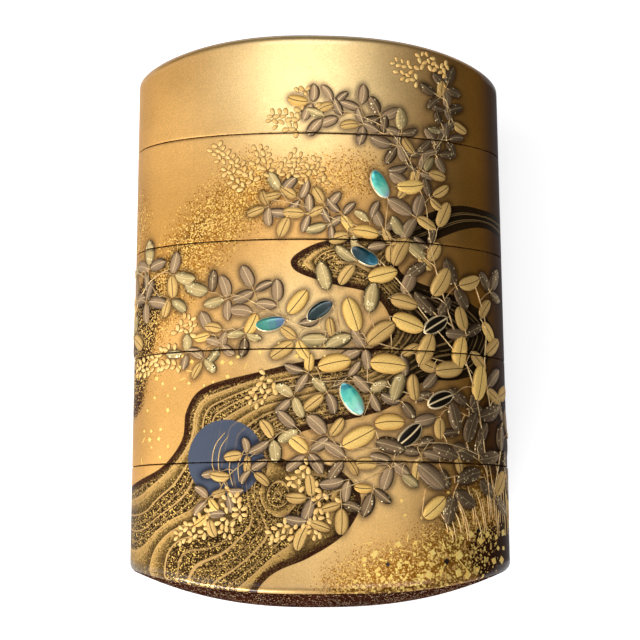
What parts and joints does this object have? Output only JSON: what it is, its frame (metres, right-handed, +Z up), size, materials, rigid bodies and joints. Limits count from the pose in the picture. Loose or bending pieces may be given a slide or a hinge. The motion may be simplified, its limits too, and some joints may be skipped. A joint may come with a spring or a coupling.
{
  "type": "inro case",
  "caption": "Small flattened case of stacked lacquered trays under a crowned lid, with a cord bore down each narrow side.",
  "frame": {"origin": "centre of the bounding box in X and Y, on the surface that the case lies on", "axes": "+X across the case, +Y along it towards the lid, +Z up out of the decorated front"},
  "size_m": [0.06, 0.0916, 0.0276],
  "materials": {
    "gold_lacquer": "gold lacquer over wood, satin to gloss"
  },
  "bodies": {
    "root": {"lid": "gold_lacquer", "case_1": "gold_lacquer", "case_2": "gold_lacquer", "case_3": "gold_lacquer", "case_4": "gold_lacquer"}
  },
  "joints": []
}
